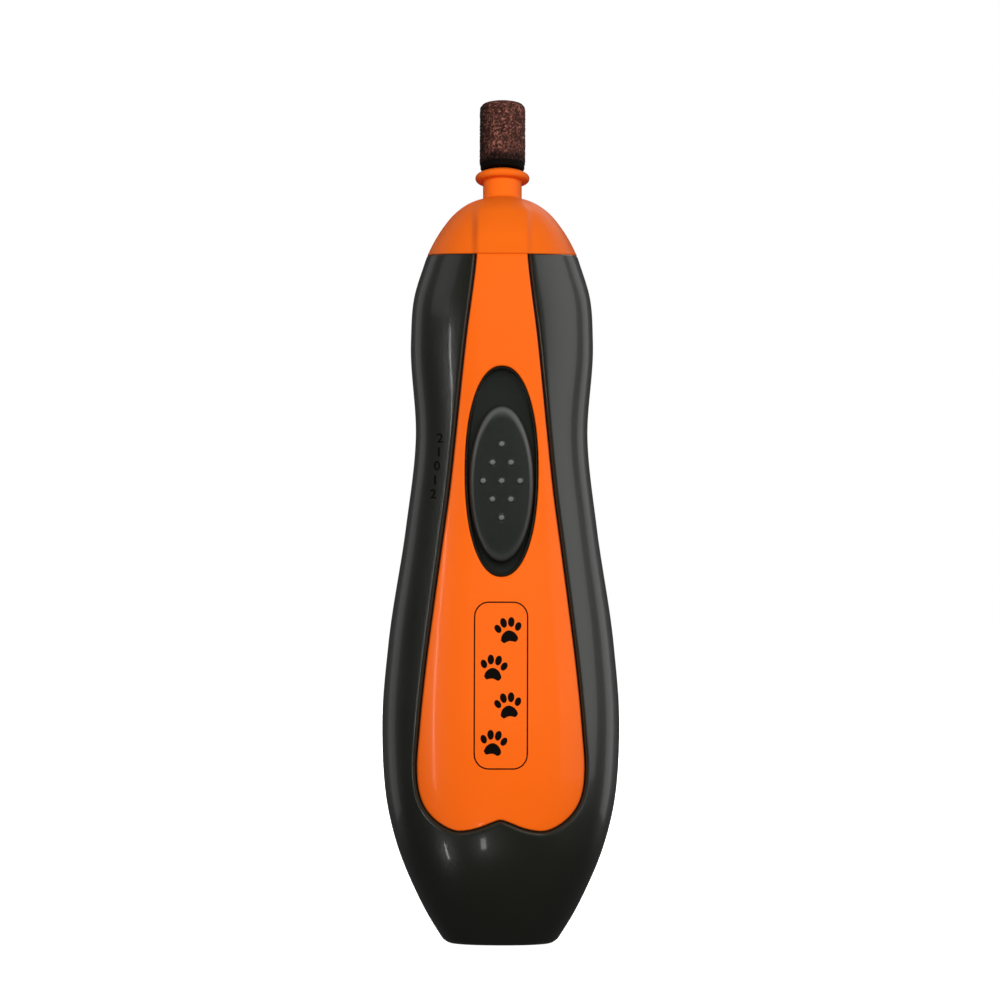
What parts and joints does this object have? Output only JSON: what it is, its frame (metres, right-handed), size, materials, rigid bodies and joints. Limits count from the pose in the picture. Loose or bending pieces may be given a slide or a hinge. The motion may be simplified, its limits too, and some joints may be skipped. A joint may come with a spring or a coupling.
{
  "type": "pet nail grinder",
  "caption": "Battery-powered hand-held pet nail grinder with a slide switch, a removable sanding drum and a battery door in the back.",
  "frame": {"origin": "centre of the bounding box's bottom, on the flat base that the tool stands on", "axes": "+Z from the base to the sanding drum, -Y out of the front with the switch, +X to the right seen from the front"},
  "size_m": [0.0486, 0.042, 0.1733],
  "materials": {
    "grip_plastic": "dark soft-touch plastic with a satin gloss",
    "orange_plastic": "satin orange plastic",
    "switch_plastic": "fine-grained charcoal plastic",
    "inner_plastic": "unpainted black moulding",
    "circuit_board": "green solder mask",
    "ceramic": "tan ceramic coating",
    "cell_wrap": "plain printed sleeve",
    "spring_steel": "nickel plated",
    "red_insulation": "wire insulation",
    "steel": "turned steel",
    "ferrite": "dull ferrite",
    "copper": "copper",
    "bronze": "sintered bronze",
    "felt": "pressed grey felt",
    "rubber": "moulded black rubber",
    "abrasive": "brown abrasive grit on a fibre sleeve"
  },
  "bodies": {
    "housing": {"front_shell": "grip_plastic", "rear_shell": "grip_plastic", "nose_cap": "orange_plastic", "front_panel": "orange_plastic", "switch_bezel": "switch_plastic", "slide_switch_body": "inner_plastic", "circuit_board": "circuit_board", "speed_resistor": "ceramic", "noise_capacitor": "ceramic", "battery_cradle": "inner_plastic", "cell_front_left": "cell_wrap", "cell_front_right": "cell_wrap", "cell_rear_left": "cell_wrap", "cell_rear_right": "cell_wrap", "spring_front_left": "spring_steel", "spring_front_right": "spring_steel", "spring_rear_left": "spring_steel", "spring_rear_right": "spring_steel", "bottom_link_left": "spring_steel", "bottom_link_right": "spring_steel", "top_link": "spring_steel", "terminal_left": "spring_steel", "terminal_right": "spring_steel", "battery_lead_red": "red_insulation", "battery_lead_black": "inner_plastic", "motor_lead_red": "red_insulation", "motor_lead_black": "inner_plastic", "motor_can": "steel", "motor_end_cap": "inner_plastic", "motor_magnet_left": "ferrite", "motor_magnet_right": "ferrite", "motor_brush_left": "copper", "motor_brush_right": "copper", "motor_screw_left": "steel", "motor_screw_right": "steel", "front_bush": "bronze", "rear_bush": "bronze", "dust_felt": "felt", "bearing_carrier": "inner_plastic", "shell_screw_1": "steel", "shell_screw_2": "steel", "shell_screw_3": "steel", "shell_screw_4": "steel", "shell_screw_5": "steel", "shell_screw_6": "steel"},
    "rotor": {"spindle": "steel", "coupling_sleeve": "rubber", "motor_shaft": "steel", "armature_core": "steel", "armature_winding": "copper", "commutator": "copper"},
    "sanding_bit": {"mandrel_shank": "steel", "rubber_drum": "rubber", "clamp_screw": "steel"},
    "abrasive_sleeve": {"sanding_band": "abrasive"},
    "power_switch": {"switch_button": "switch_plastic", "slide_switch_lever": "inner_plastic"},
    "door": {"battery_door": "grip_plastic"}
  },
  "joints": [
    {"name": "spindle_spin", "type": "hinge", "parent": "housing", "child": "rotor", "pos_m": [0, 0.008, 0.152], "axis": [0, 0.225, 0.9744], "continuous": true},
    {"name": "bit_pull", "type": "slide", "parent": "rotor", "child": "sanding_bit", "axis": [0, 0.225, 0.9744], "range_m": [0, 0.022]},
    {"name": "band_pull", "type": "slide", "parent": "sanding_bit", "child": "abrasive_sleeve", "axis": [0, 0.225, 0.9744], "range_m": [0, 0.016]},
    {"name": "switch_slide", "type": "slide", "parent": "housing", "child": "power_switch", "axis": [0, 0, 1], "range_m": [-0.0021, 0.0063]},
    {"name": "door_swing", "type": "hinge", "parent": "housing", "child": "door", "pos_m": [0, 0.0191, 0.018], "axis": [-1, 0, 0], "range_deg": [0, 70]}
  ]
}
